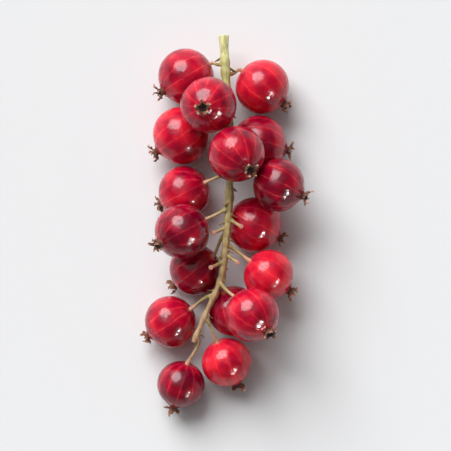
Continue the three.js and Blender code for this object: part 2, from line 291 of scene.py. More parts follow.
def closed_rings(rings, **values):
    """One closed surface from a stack of rings: quads between neighbours, and a fan on a middle point at each end.

    Its map runs round the rings and along the stack, from 0 to 1 each way. Each named value is one number for the
    whole surface or one for each ring.
    """
    rows, columns = rings.shape[:2]
    here = np.arange(rows * columns).reshape(rows, columns)
    right = np.roll(here, -1, axis=1)
    low, high = np.full(columns, rows * columns), np.full(columns, rows * columns + 1)
    quads = np.stack([here[:-1], right[:-1], right[1:], here[1:]], -1).reshape(-1, 4)
    fans = np.concatenate([np.stack([right[0], here[0], low], -1), np.stack([here[-1], right[-1], high], -1)])
    points = np.vstack([rings.reshape(-1, 3), rings[0].mean(0), rings[-1].mean(0)])

    u, v = np.meshgrid(np.arange(columns) / columns, np.arange(rows) / (rows - 1))
    step = 1 / columns
    quad_map = np.stack([
        np.stack([u[:-1], u[:-1] + step, u[1:] + step, u[1:]], -1),
        np.stack([v[:-1], v[:-1], v[1:], v[1:]], -1),
    ], -1).reshape(-1, 2)
    around = u[0]
    fan_map = np.concatenate([
        np.stack([around + step, 0 * around, around, 0 * around, around + step / 2, 0 * around], -1),
        np.stack([around, 0 * around + 1, around + step, 0 * around + 1, around + step / 2, 0 * around + 1], -1),
    ]).reshape(-1, 2)

    inside_out = signed_volume(points, quads, fans) < 0
    if inside_out:
        quads, fans = quads[:, ::-1], fans[:, ::-1]
        quad_map = quad_map.reshape(-1, 4, 2)[:, ::-1].reshape(-1, 2)
        fan_map = fan_map.reshape(-1, 3, 2)[:, ::-1].reshape(-1, 2)
    per_point = {}
    for name, value in values.items():
        ring_values = np.broadcast_to(np.asarray(value, float), (rows,))
        per_point[name] = np.concatenate([np.repeat(ring_values, columns), ring_values[[0, -1]]])
    return {
        "points": points,
        "quads": quads,
        "fans": fans,
        "quad_map": quad_map,
        "fan_map": fan_map,
        "values": per_point,
    }


def signed_volume(points, quads, fans):
    """The volume inside a closed surface, less than zero where its faces point inwards."""
    triangles = np.concatenate([quads[:, :3], quads[:, [0, 2, 3]], fans])
    a, b, c = (points[triangles[:, i]] - points.mean(0) for i in range(3))
    return np.einsum("ij,ij->i", a, np.cross(b, c)).sum() / 6


def make_mesh(name, surfaces):
    """One smooth mesh from several closed surfaces, with its map and its named values."""
    starts = np.cumsum([0] + [len(s["points"]) for s in surfaces[:-1]])
    points = np.vstack([s["points"] for s in surfaces])
    quads = np.vstack([s["quads"] + start for s, start in zip(surfaces, starts)])
    fans = np.vstack([s["fans"] + start for s, start in zip(surfaces, starts)])
    mesh = bpy.data.meshes.new(name)
    mesh.vertices.add(len(points))
    mesh.vertices.foreach_set("co", points.astype(np.float32).ravel())
    mesh.loops.add(quads.size + fans.size)
    mesh.loops.foreach_set("vertex_index", np.concatenate([quads.ravel(), fans.ravel()]).astype(np.int32))
    mesh.polygons.add(len(quads) + len(fans))
    loop_start = np.concatenate([np.arange(len(quads)) * 4, quads.size + np.arange(len(fans)) * 3])
    mesh.polygons.foreach_set("loop_start", loop_start.astype(np.int32))
    mesh.update(calc_edges=True)
    mesh.shade_smooth()
    layer = mesh.uv_layers.new(name="surface_map")
    surface_map = np.vstack([s["quad_map"] for s in surfaces] + [s["fan_map"] for s in surfaces])
    layer.data.foreach_set("uv", surface_map.astype(np.float32).ravel())
    for value in surfaces[0]["values"]:
        set_value(mesh, value, np.concatenate([s["values"][value] for s in surfaces]))
    return mesh


def set_value(mesh, name, numbers):
    """Stores one number for each point of a mesh, for its material to read."""
    mesh.attributes.new(name, "FLOAT", "POINT").data.foreach_set("value", numbers.astype(np.float32))


def add_piece(name, mesh, material, slot, *nodes):
    """Puts a mesh in the scene as a piece that stands for CAD nodes and rides on the part."""
    mesh.materials.clear()
    mesh.materials.append(material)
    piece = bpy.data.objects.new(name, mesh)
    bpy.context.scene.collection.objects.link(piece)
    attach(piece, "root")
    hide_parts(*nodes)
    return piece


# ----------------------------------------
# Materials


def linear(colour):
    """An sRGB hex colour as linear red, green, blue and alpha."""
    srgb = np.array([int(colour[i : i + 2], 16) for i in (1, 3, 5)]) / 255
    light = np.where(srgb <= 0.04045, srgb / 12.92, ((srgb + 0.055) / 1.055) ** 2.4)
    return (*(float(channel) for channel in light), 1.0)


def add(tree, kind, inputs=None, stops=None, **fields):
    """Adds a node with its fields, inputs and colour stops. An input is a value, or a node and its output."""
    made = tree.nodes.new(kind)
    for field, value in fields.items():
        setattr(made, field, value)
    for socket, value in (inputs or {}).items():
        if isinstance(value, tuple) and isinstance(value[0], bpy.types.Node):
            tree.links.new(value[0].outputs[value[1]], made.inputs[socket])
        else:
            made.inputs[socket].default_value = value
    if stops:
        ramp = made.color_ramp.elements
        ramp[0].position, ramp[0].color = stops[0]
        ramp[1].position, ramp[1].color = stops[-1]
        for place, colour in stops[1:-1]:
            ramp.new(place).color = colour
    return made


def noise(tree, place, size, detail):
    """Cloudy noise on the piece's own coordinates, with clouds of about this many millimetres."""
    return add(tree, "ShaderNodeTexNoise", {"Vector": (place, "Object"), "Scale": 1 / (size * MM), "Detail": detail})


def ease(tree, value, low, high, at_low, at_high):
    """A smooth step of a value: from one level, at or below low, to another, at or above high."""
    return add(
        tree,
        "ShaderNodeMapRange",
        {0: value, 1: low, 2: high, 3: at_low, 4: at_high},
        interpolation_type="SMOOTHSTEP",
    )


def blend(tree, share, under, over):
    """One colour over another by a share. The colour over it may be a setting."""
    over = over if isinstance(over, tuple) else tuple(over)
    return add(tree, "ShaderNodeMix", {0: share, 6: under, 7: over}, data_type="RGBA")


def new_material(name):
    """An empty node material and its tree."""
    material = bpy.data.materials.new(name)
    material.use_nodes = True
    material.node_tree.nodes.clear()
    return material, material.node_tree


def finish_material(tree, shader):
    """Links a shader to the material's output."""
    add(tree, "ShaderNodeOutputMaterial", {"Surface": (shader, 0)})


def ripe_currant_skin(look):
    """Thin, taut, juicy skin grown over clear red flesh.

    The eye sees light glowing through it, fine pale veins from pole to pole that come and go, each in a shallow
    crease with brighter flesh beside it, the seeds as soft darker spots below the skin, pale skin by the stalk, a
    dark brown ring of painted shade where the dried flower sits, and a wet shine. The veins are about 0.3 mm wide
    with their soft edges, coarser than real ones so that they show, and the seeds lie 2.6 mm apart.
    """
    material, tree = new_material("ripe_currant_skin")
    place = add(tree, "ShaderNodeTexCoord")
    surface_map = add(tree, "ShaderNodeUVMap", uv_map="surface_map")
    split = add(tree, "ShaderNodeSeparateXYZ", {0: (surface_map, "UV")})
    tone = add(tree, "ShaderNodeAttribute", attribute_name="tone")

    cloud = noise(tree, place, size=3.0, detail=3.0)
    patch = noise(tree, place, size=1.3, detail=2.0)
    grain = noise(tree, place, size=0.45, detail=3.0)

    # How far each point lies from the nearest vein, as a share of the widest space between two veins.
    wobble = add(tree, "ShaderNodeMath", {0: (patch, "Fac"), 1: 0.22}, operation="MULTIPLY")
    count = add(tree, "ShaderNodeMath", {0: (split, "X"), 1: float(look.veins)}, operation="MULTIPLY")
    shifted = add(tree, "ShaderNodeMath", {0: (count, 0), 1: (wobble, 0)}, operation="ADD")
    beside = add(tree, "ShaderNodeMath", {0: (shifted, 0), 1: 0.5}, operation="PINGPONG")
    half_turn = add(tree, "ShaderNodeMath", {0: (split, "Y"), 1: np.pi}, operation="MULTIPLY")
    girth = add(tree, "ShaderNodeMath", {0: (half_turn, 0)}, operation="SINE")
    apart = add(tree, "ShaderNodeMath", {0: (beside, 0), 1: (girth, 0)}, operation="MULTIPLY")
    line = ease(tree, (apart, 0), 0.008, 0.055, 1.0, 0.0)
    showing = ease(tree, (cloud, "Fac"), 0.38, 0.62, 0.1, look.vein_strength)
    vein = add(tree, "ShaderNodeMath", {0: (line, 0), 1: (showing, 0)}, operation="MULTIPLY")

    seeds = add(
        tree,
        "ShaderNodeTexVoronoi",
        {"Vector": (place, "Object"), "Scale": 1 / (SEED_SPACING * MM)},
        feature="SMOOTH_F1",
    )
    seed = ease(tree, (seeds, "Distance"), 0.1, 0.45, 0.22, 0.0)
    toned = add(tree, "ShaderNodeMath", {0: (cloud, "Fac"), 1: (tone, "Fac")}, operation="ADD")
    band = ease(tree, (apart, 0), 0.0, 0.34, 0.11, -0.06)
    ripeness = add(
        tree,
        "ShaderNodeMath",
        {0: (patch, "Fac"), 1: (band, 0), 2: (toned, 0)},
        operation="MULTIPLY_ADD",
    )
    flesh = add(
        tree,
        "ShaderNodeValToRGB",
        {0: (ripeness, 0)},
        stops=[(0.2, tuple(look.deep)), (0.5, tuple(look.ripe)), (0.85, tuple(look.bright))],
    )
    seeded = blend(tree, (seed, 0), (flesh, "Color"), look.seed)
    veined = blend(tree, (vein, 0), (seeded, 2), look.vein)
    near_stalk = ease(tree, (split, "Y"), 0.03, 0.13, 0.7, 0.0)
    paled = blend(tree, (near_stalk, 0), (veined, 2), look.vein)
    # Painted shade: the skin darkens to the ring colour at the pole under the dried flower, where the flower sits on
    # it.
    near_flower = ease(tree, (split, "Y"), 0.9, 0.965, 0.0, 0.9)
    flower_shaded = blend(tree, (near_flower, 0), (paled, 2), look.ring)

    swell = add(tree, "ShaderNodeBump", {"Height": (patch, "Fac"), "Strength": 0.6, "Distance": 0.2 * MM})
    creases = add(
        tree,
        "ShaderNodeBump",
        {"Height": (vein, 0), "Normal": (swell, 0), "Strength": 0.4, "Distance": 0.1 * MM},
        invert=True,
    )
    dimples = add(
        tree,
        "ShaderNodeBump",
        {"Height": (grain, "Fac"), "Normal": (creases, 0), "Strength": 0.15, "Distance": 0.02 * MM},
    )
    wet = ease(tree, (grain, "Fac"), 0.35, 0.65, 0.13, 0.23)
    skin = add(
        tree,
        "ShaderNodeBsdfPrincipled",
        {
            "Base Color": (flower_shaded, 2),
            "Roughness": (wet, 0),
            "IOR": 1.4,
            "Normal": (dimples, 0),
            "Subsurface Weight": 1.0,
            "Subsurface Radius": (1.0, 0.12, 0.12),
            "Subsurface Scale": 5.5 * MM,
            "Coat Weight": 0.25,
            "Coat Roughness": 0.06,
            "Coat IOR": 1.4,
        },
    )
    finish_material(tree, skin)
    return material


def green_stem_bark(look):
    """Young bark, still partly green, with fine ribs along it, turning tan and pink towards the berries.

    The eye sees a pale yellow-green cut end, brown flecks and pores, furrows darkened with painted shade, and a soft
    dull shine. The ribs are 0.3 mm apart and the pores 0.9 mm, both coarser than real ones so that they show.
    """
    material, tree = new_material("green_stem_bark")
    place = add(tree, "ShaderNodeTexCoord")
    along, stalk, bract = (
        add(tree, "ShaderNodeAttribute", attribute_name=name) for name in ("along", "stalk", "bract")
    )
    stretched = add(tree, "ShaderNodeMapping", {"Vector": (place, "Object"), "Scale": (1.0, 0.12, 1.0)})
    ribs = add(tree, "ShaderNodeTexNoise", {"Vector": (stretched, 0), "Scale": 1 / (RIB_SPACING * MM), "Detail": 3.0})
    blotch = noise(tree, place, size=1.5, detail=4.0)
    pores = add(tree, "ShaderNodeTexVoronoi", {"Vector": (stretched, 0), "Scale": 1 / (PORE_SPACING * MM)})

    main = add(
        tree,
        "ShaderNodeValToRGB",
        {0: (along, "Fac")},
        stops=[(0.0, tuple(look.cut)), (0.14, tuple(look.green)), (0.55, tuple(look.khaki)), (1.0, tuple(look.tan))],
    )
    side = add(
        tree,
        "ShaderNodeValToRGB",
        {0: (stalk, "Fac")},
        stops=[(0.0, tuple(look.green)), (0.3, tuple(look.khaki)), (0.7, tuple(look.tan)), (1.0, tuple(look.blush))],
    )
    on_stalk = ease(tree, (stalk, "Fac"), 0.0, 0.2, 0.0, 1.0)
    green = blend(tree, (on_stalk, 0), (main, "Color"), (side, "Color"))
    scaled = blend(tree, (bract, "Fac"), (green, 2), look.scale)
    fleck = ease(tree, (blotch, "Fac"), 0.5, 0.7, 0.0, 0.4)
    flecked = blend(tree, (fleck, 0), (scaled, 2), look.fleck)
    # Painted shade: the fleck colour darkens the furrows, the low parts of the rib noise that the bump also uses.
    furrow_shade = ease(tree, (ribs, "Fac"), 0.35, 0.6, 0.4, 0.0)
    furrow_shaded = blend(tree, (furrow_shade, 0), (flecked, 2), look.fleck)
    pore = ease(tree, (pores, "Distance"), 0.12, 0.24, 0.5, 0.0)
    speckled = blend(tree, (pore, 0), (furrow_shaded, 2), look.scale)

    furrows = add(tree, "ShaderNodeBump", {"Height": (ribs, "Fac"), "Strength": 0.8, "Distance": 0.08 * MM})
    dull = ease(tree, (blotch, "Fac"), 0.3, 0.7, 0.42, 0.62)
    bark = add(
        tree,
        "ShaderNodeBsdfPrincipled",
        {
            "Base Color": (speckled, 2),
            "Roughness": (dull, 0),
            "IOR": 1.45,
            "Normal": (furrows, 0),
            "Subsurface Weight": 0.2,
            "Subsurface Radius": (1.0, 0.8, 0.4),
            "Subsurface Scale": 0.3 * MM,
        },
    )
    finish_material(tree, bark)
    return material


def papery_dried_flower(look):
    """Flower remains, dried on the berry to brown paper.

    The eye sees a dark heart, pale tan lobes with wrinkles 0.3 mm apart, their creases darkened with painted shade,
    and almost no shine.
    """
    material, tree = new_material("papery_dried_flower")
    place = add(tree, "ShaderNodeTexCoord")
    reach = add(tree, "ShaderNodeAttribute", attribute_name="reach")
    wrinkle = noise(tree, place, size=WRINKLE_SPACING, detail=4.0)
    # Painted shade: the paper darkens in the low parts of the wrinkle noise that the crumple bump also uses; the
    # reach adds the paper's own bleaching from heart to tips.
    spread = add(tree, "ShaderNodeMath", {0: (wrinkle, "Fac"), 1: 0.6, 2: (reach, "Fac")}, operation="MULTIPLY_ADD")
    shifted = add(tree, "ShaderNodeMath", {0: (spread, 0), 1: 0.3}, operation="SUBTRACT")
    paper = add(
        tree,
        "ShaderNodeValToRGB",
        {0: (shifted, 0)},
        stops=[(0.0, tuple(look.heart)), (0.3, tuple(look.husk)), (0.75, tuple(look.lobe)), (1.0, tuple(look.edge))],
    )
    crumple = add(tree, "ShaderNodeBump", {"Height": (wrinkle, "Fac"), "Strength": 0.8, "Distance": 0.1 * MM})
    husk = add(
        tree,
        "ShaderNodeBsdfPrincipled",
        {"Base Color": (paper, "Color"), "Roughness": 0.8, "IOR": 1.4, "Normal": (crumple, 0)},
    )
    finish_material(tree, husk)
    return material


def matte_white_board(look):
    """Painted white board: plain, pale and without shine."""
    material, tree = new_material("matte_white_board")
    board = add(
        tree,
        "ShaderNodeBsdfPrincipled",
        {"Base Color": tuple(look.floor), "Roughness": 0.9, "Specular IOR Level": 0.15},
    )
    finish_material(tree, board)
    return material


# ----------------------------------------
# Settings


def colour(name, text, value):
    """A colour setting."""
    return bpy.props.FloatVectorProperty(
        name=name, description=text, subtype="COLOR", size=4, min=0, max=1, default=linear(value)
    )


def length(name, text, value):
    """A length setting, given in millimetres and kept in metres."""
    return bpy.props.FloatProperty(
        name=name, description=text, subtype="DISTANCE", unit="LENGTH", precision=5, default=value * MM
    )


class BerryLook(bpy.types.PropertyGroup):
    """Sizes and colours of the berries."""

    rows: bpy.props.IntProperty(name="Rows", description="Rings from pole to pole", default=72, min=16)
    columns: bpy.props.IntProperty(name="Columns", description="Points round each ring", default=112, min=16)
    veins: bpy.props.IntProperty(name="Veins", description="Pale veins from pole to pole", default=12, min=0)
    plump: length("Plumpness", "How far the skin stands out past the plain solid", 0.1)
    dimple: length("Stalk dimple", "How deep the stalk sits in the berry", 0.3)
    unevenness: bpy.props.FloatProperty(
        name="Unevenness", description="How far a berry strays from round, as a share of its radius", default=0.012
    )
    vein_strength: bpy.props.FloatProperty(
        name="Vein strength", description="How much paler the veins are than the skin", subtype="FACTOR", default=0.26
    )
    deep: colour("Deep red", "Flesh of the ripest berries", "#6E001E")
    ripe: colour("Ripe red", "Flesh of most berries", "#B2062E")
    bright: colour("Bright red", "Flesh where light comes through", "#E6243A")
    seed: colour("Seed", "Seeds seen through the flesh", "#74041A")
    vein: colour("Vein", "Veins and the pale skin by the stalk", "#F27C72")
    # The ring colour is painted shade on the skin under and round the dried flower's foot.
    ring: colour("Ring", "Brown skin round the dried flower", "#5A1812")


class FlowerLook(bpy.types.PropertyGroup):
    """Sizes and colours of the dried flowers."""

    height: length("Height", "From the berry to the top of the lobes", 1.9)
    lobe_width: length("Lobe width", "Width of a lobe where it leaves the rim", 1.1)
    lobes: bpy.props.IntProperty(name="Lobes", description="Shrivelled sepals", default=5, min=3)
    fold: bpy.props.FloatProperty(
        name="Folds", description="Depth of the cup's folds, as a share of its radius", subtype="FACTOR", default=0.12
    )
    heart: colour("Heart", "Inside of the cup and the stamens", "#1C100C")
    husk: colour("Husk", "Neck and foot of the lobes", "#5C3626")
    lobe: colour("Lobe", "Dry lobes", "#A0705A")
    edge: colour("Edge", "Bleached edges and tips of the lobes", "#D2A890")


class StemLook(bpy.types.PropertyGroup):
    """Sizes and colours of the stem."""

    voxel: length("Join size", "Smallest detail kept where stalks grow out of the stem", 0.088)
    rib: length("Rib height", "Height of the low ribs along the stem", 0.05)
    cut: colour("Cut end", "Freshly cut end", "#E0DE9E")
    green: colour("Green", "Young bark", "#B2AC68")
    khaki: colour("Khaki", "Older bark", "#A8945C")
    tan: colour("Tan", "Bark of the thin stalks", "#CAA680")
    blush: colour("Blush", "End of a stalk at its berry", "#DE9E86")
    scale: colour("Scale", "Dry bracts and pores", "#84683C")
    # Fleck: brown flecks on the bark, and painted shade in the furrows.
    fleck: colour("Fleck", "Flecks and furrows", "#6A5E2C")


class StageLook(bpy.types.PropertyGroup):
    """The floor, the lights and the camera."""

    floor: colour("Floor", "Pale board", "#E2E2E1")
    distance: bpy.props.FloatProperty(
        name="Camera distance", description="From the sprig to the camera", unit="LENGTH", default=0.45
    )
    elevation: bpy.props.FloatProperty(
        name="Elevation", description="Camera's angle above the table", subtype="ANGLE", default=np.radians(88)
    )
    window: bpy.props.FloatProperty(name="Window", description="Strength of the soft window light", default=4.7)
    walls: bpy.props.FloatProperty(name="Walls", description="Brightness around the table", default=0.88)
    ceiling: bpy.props.FloatProperty(name="Ceiling", description="Brightness overhead", default=0.12)
    fill: bpy.props.FloatProperty(
        name="Fill", description="Share of the picture's height that the sprig fills", subtype="FACTOR", default=0.86
    )


# ----------------------------------------
# Berries


def basis_of(axis):
    """Two directions across an axis."""
    first = unit(np.cross(axis, UP if abs(axis[2]) < 0.9 else np.array([1.0, 0.0, 0.0])))
    return first, np.cross(axis, first)


def berry_rings(look, centre, axis, radius, chance):
    """Rings of a berry about its axis, from the stalk to the dried flower.

    The angle from the stalk's pole runs from 0 to half a turn, with rings closer at the poles. The height is a
    little less than the width. Three wide, shallow waves in chance directions make it uneven, the skin dips where
    the stalk sits and under the dried flower, and it rises in a small collar round the flower.
    """
    share = np.linspace(0.004, 0.996, look.rows)
    polar = np.pi * (share - 0.55 * np.sin(2 * np.pi * share) / (2 * np.pi))
    turn = np.linspace(0, 2 * np.pi, look.columns, endpoint=False)
    polar, turn = np.meshgrid(polar, turn, indexing="ij")
    ways = unit(chance.normal(size=(3, 3)))
    normal = np.stack([np.sin(polar) * np.cos(turn), np.sin(polar) * np.sin(turn), -np.cos(polar)], -1)
    waves = np.cos(2.2 * normal @ ways.T + chance.uniform(0, 2 * np.pi, 3)).sum(-1) / 3
    full = radius + look.plump
    out = full * (1 + look.unevenness * waves)
    across = out * np.sin(polar)
    height = -POLE_SHARE * out * np.cos(polar)
    pole_dip = bump(across, POLE_DIP_WIDTH * MM)
    height = height + look.dimple * pole_dip * (polar < np.pi / 2)
    collar = COLLAR_HEIGHT * MM * bump(across - COLLAR_RADIUS * MM, COLLAR_WIDTH * MM)
    height = height + (polar > np.pi / 2) * (collar - FLOWER_DIP * MM * pole_dip)
    first, second = basis_of(axis)
    ring = across[..., None] * (np.cos(turn)[..., None] * first + np.sin(turn)[..., None] * second)
    return centre + ring + height[..., None] * axis


class REDCURRANT_OT_add_berries(bpy.types.Operator):
    """Add the berries, each a closed surface about its own axis"""

    bl_idname = "redcurrant.add_berries"
    bl_label = "Add Berries"

    def execute(self, context):
        look = context.scene.redcurrant_berries
        skin = ripe_currant_skin(look)
        for number, (centre, axis, radius) in enumerate(PLACES, start=1):
            chance = np.random.default_rng(BERRY_CHANCE + number)
            rings = berry_rings(look, centre, axis, radius, chance)
            surface = closed_rings(rings, tone=chance.uniform(-0.2, 0.2))
            mesh = make_mesh(f"currant_{number:02d}", [surface])
            add_piece(f"currant_{number:02d}", mesh, skin, "berry_skin", f"berry_{number:02d}")
        return {"FINISHED"}


# ----------------------------------------
# Dried flowers


def flower_surfaces(look, base, axis, chance):
    """A dried flower: a cup, its curled lobes, and a tuft of stamens that stand between the lobes."""
    start = chance.uniform(0, 2 * np.pi)
    surfaces = [cup_surface(look, base, axis, start)]
    for lobe in range(look.lobes):
        angle = start + 2 * np.pi * lobe / look.lobes + chance.uniform(-0.12, 0.12)
        surfaces.append(lobe_surface(look, base, axis, angle, chance))
    for angle in start + np.pi / STAMENS + 2 * np.pi * np.arange(STAMENS) / STAMENS:
        surfaces.append(stamen_surface(base, axis, angle, chance))
    return surfaces


def cup_surface(look, base, axis, start):
    """The cup: its profile turned about the axis, with one fold for each lobe and seven more that wind up it."""
    rows = np.linspace(0, len(CUP_PROFILE) - 1, 34)
    steps = np.arange(len(CUP_PROFILE))
    out, height, reach = (np.interp(rows, steps, CUP_PROFILE[:, i])[:, None] for i in range(3))
    turn = np.linspace(0, 2 * np.pi, 40, endpoint=False) + start
    folds = look.fold * np.clip(height, 0, 1) * np.cos(look.lobes * (turn - start))
    folds = folds + look.fold * 0.5 * np.sin(7 * turn + 5 * height) * np.clip(height + 0.2, 0, 1)
    around = spoke(turn, *basis_of(axis))
    rings = base + height[..., None] * MM * axis + (out * (1 + folds) * MM)[..., None] * around
    return closed_rings(rings, reach=reach[:, 0])


def lobe_surface(look, base, axis, angle, chance):
    """A lobe: a flat oval carried along an arc that starts at the rim and bends in or out by a chance angle.

    The arc wavers a little from side to side. The oval narrows to the lobe's tip with a wavy edge, and its sides
    curl up or down.
    """
    share = np.linspace(0, 1, 18)
    way, across = (spoke(turned, *basis_of(axis)) for turned in (angle, angle + np.pi / 2))
    bend = np.radians(chance.uniform(35, 65) + chance.choice(LOBE_BENDS) * share**1.3)
    full = (look.height - RIM_HEIGHT * MM) * chance.uniform(0.6, 1.25)
    step = full / len(share) * (np.cos(bend)[:, None] * way + np.sin(bend)[:, None] * axis)
    path = base + LOBE_FOOT_HEIGHT * MM * axis + LOBE_FOOT_OUT * MM * way + np.cumsum(step, axis=0)
    path = path + 0.12 * MM * np.sin(5 * share + angle)[:, None] * across
    wide = look.lobe_width / 2 * np.clip(1 - share**2.6, 0.03, 1) * (1 + 0.12 * np.sin(14 * share + 3 * angle))
    wide = wide * chance.uniform(0.65, 1.05)
    ref = unit(np.cross(across + chance.uniform(-0.3, 0.3) * axis, way))
    cup = chance.uniform(0.05, 0.34) * MM * (0.3 + 0.7 * share) * chance.choice([-1, 1, 1])
    lens = sweep(path, wide, LOBE_THICKNESS * MM, 20, ref, cup=cup, ripple=LOBE_RIPPLE * MM)
    return closed_rings(lens, reach=0.35 + 0.65 * share)


def stamen_surface(base, axis, angle, chance):
    """A stamen: a thin rod that leans out more and more along its length, with a knob near its end."""
    first, second = basis_of(axis)
    share = np.linspace(0, 1, 9)[:, None]
    lean = chance.uniform(0.1, 0.5) * spoke(angle, first, second)
    root = base + 0.36 * MM * axis + 0.2 * MM * spoke(angle, first, second)
    path = root + share * chance.uniform(0.6, 1.0) * MM * (axis + lean * share)
    knob = MM * (0.05 + 0.08 * bump(share[:, 0] - 0.9, 0.12))
    return closed_rings(sweep(path, knob, knob, 8, first + 0.01 * second), reach=0.1)


def spoke(angle, first, second):
    """The direction at an angle in the plane of two directions."""
    return np.cos(angle)[..., None] * first + np.sin(angle)[..., None] * second


class REDCURRANT_OT_add_dried_flowers(bpy.types.Operator):
    """Add the dried flower at the end of each berry"""

    bl_idname = "redcurrant.add_dried_flowers"
    bl_label = "Add Dried Flowers"

    def execute(self, context):
        look = context.scene.redcurrant_flowers
        paper = papery_dried_flower(look)
        for number, (centre, axis, radius) in enumerate(PLACES, start=1):
            chance = np.random.default_rng(FLOWER_CHANCE + number)
            base = centre + axis * POLE_SHARE * radius
            mesh = make_mesh(f"dried_flower_{number:02d}", flower_surfaces(look, base, axis, chance))
            add_piece(f"dried_flower_{number:02d}", mesh, paper, "dried_flower", f"calyx_{number:02d}")
        return {"FINISHED"}


# ----------------------------------------
# Stem


def stem_line():
    """The main stem's middle line in metres, evenly spaced, and how far it was stretched to its length."""
    start = STEM_ROUTE[0]
    length_now = np.linalg.norm(np.diff(smooth_route(STEM_ROUTE, 400), axis=0), axis=1).sum()
    stretch = STEM_LENGTH / length_now
    route = STEM_ROUTE * [stretch, stretch, 1]
    line = smooth_route(route, STEM_POINTS)
    return (line - start) * MM + cut_end(), stretch


STEM_LINE, STRETCH = stem_line()
STEM_REACH = np.linalg.norm(np.diff(STEM_LINE, axis=0), axis=1).sum() / MM


def on_stem(at):
    """The point, direction and share of the stem at a distance from the cut end."""
    share = at * STRETCH / STEM_REACH
    steps = np.linspace(0, 1, len(STEM_LINE))
    slope = np.gradient(STEM_LINE, axis=0)
    point = np.array([np.interp(share, steps, STEM_LINE[:, i]) for i in range(3)])
    along = unit(np.array([np.interp(share, steps, slope[:, i]) for i in range(3)]))
    return point, along, share


def stem_radius(share):
    """A taper, the heel at the cut end, and a swelling at each stalk, in metres."""
    nodes = np.concatenate([BERRIES[:, 0], BARE_STALKS[:, 0]]) * STRETCH / STEM_REACH
    distance = (np.reshape(share, (-1, 1)) - nodes) * STEM_REACH
    swell = NODE_SWELL * bump(distance, NODE_LENGTH).max(1)
    heel = HEEL_SWELL * bump(np.ravel(share) * STEM_REACH, HEEL_LENGTH)
    return (CUT_RADIUS + (TIP_RADIUS - CUT_RADIUS) * np.ravel(share) + heel + swell) * MM


def stalk_root(at, toward):
    """Where a stalk leaves the stem, the way straight out from it, and the way it sets out, leaning to the tip."""
    point, along, share = on_stem(at)
    out = unit(toward - (toward @ along) * along)
    way = np.cos(np.radians(STALK_LEAN)) * out + np.sin(np.radians(STALK_LEAN)) * along
    return {"point": point, "along": along, "share": share, "out": out, "way": way}


def fruit_roots():
    """The roots of the fruiting stalks. Each sets out towards its berry's first spot."""
    roots = []
    origin = cut_end() - STEM_ROUTE[0] * MM
    for at, x, y, upper in BERRIES:
        share = at * STRETCH / STEM_REACH
        diameter = BERRY_DIAMETER + (TIP_BERRY_DIAMETER - BERRY_DIAMETER) * share
        radius = diameter / 2 * (1 + BERRY_SPREAD * np.sin(5 * len(roots)))
        height = BED + BERRY_DIAMETER if upper else radius
        spot = origin + np.array([x * STRETCH, y * STRETCH, height - BED]) * MM
        roots.append(stalk_root(at, spot - on_stem(at)[0]))
    return roots


def bare_roots():
    """The roots of the bare stalks."""
    angles = np.radians(BARE_STALKS[:, 1])
    return [
        stalk_root(at, np.array([np.sin(angle), 0, np.cos(angle)])) for at, angle in zip(BARE_STALKS[:, 0], angles)
    ]


def fruit_line(root, centre, axis, radius):
    """A fruiting stalk's middle line: it leaves along its root's way and meets the berry along its axis."""
    seat = centre - axis * (POLE_SHARE * radius - SEAT_DEPTH * MM)
    out = root["point"] + FOOT_PULL * STALK_LENGTH * MM * root["way"]
    back = seat - SEAT_PULL * STALK_LENGTH * MM * axis
    return bezier([root["point"], out, back, seat], STALK_POINTS)


def bare_line(root):
    """A bare stalk's middle line, curled upwards."""
    reach, curl = BARE_LENGTH * MM, np.radians(BARE_CURL)
    bend = root["point"] + BARE_BEND * reach * root["way"]
    end = bend + (1 - BARE_BEND) * reach * (np.cos(curl) * root["way"] + np.sin(curl) * UP)
    return bezier([root["point"], bend, end], BARE_POINTS)


def stalk_surface(line):
    """A round tube: thick at the foot, thin in the middle, widened at its end."""
    share = np.linspace(0, 1, len(line))
    radius = (STALK_RADIUS + FOOT_SWELL * bump(share, 0.25) + SEAT_SWELL * bump(1 - share, 0.16)) * MM
    chord = line[-1] - line[0]
    bend = np.cross(chord, line[len(line) // 2] - line[0])
    ref = unit(bend) if np.linalg.norm(bend) > 1e-9 else basis_of(unit(chord))[0]
    return closed_rings(sweep(line, radius, radius, STALK_COLUMNS, ref))


def bract_line(root):
    """A bract's middle line, from its foot in the stem just before the stalk, curling away from it."""
    radius = stem_radius(root["share"])[0]
    foot = root["point"] + (radius - BRACT_THICKNESS * MM) * root["out"] - NODE_LENGTH * MM * root["along"]
    share = np.linspace(0, 1, BRACT_POINTS)[:, None]
    lift = np.radians(BRACT_LIFT + BRACT_CURL * share)
    way = np.cos(lift) * root["along"] + np.sin(lift) * root["out"]
    return foot + share * BRACT_LENGTH * MM * way


def bract_surface(root):
    """A pointed scale: a flat oval carried along its line, widest at a third and narrowing to its tip."""
    line = bract_line(root)
    share = np.linspace(0, 1, len(line))
    wide = BRACT_WIDTH / 2 * MM * np.clip(np.sin(np.pi * (0.22 + 0.78 * share)) ** 0.8, 0.12, 1)
    thick = BRACT_THICKNESS / 2 * MM * (1 - 0.4 * share)
    across = np.cross(root["along"], root["out"])
    ref = unit(np.cross(across, line[-1] - line[0]))
    return closed_rings(sweep(line, wide, thick, BRACT_COLUMNS, ref, cup=BRACT_CUP * MM))


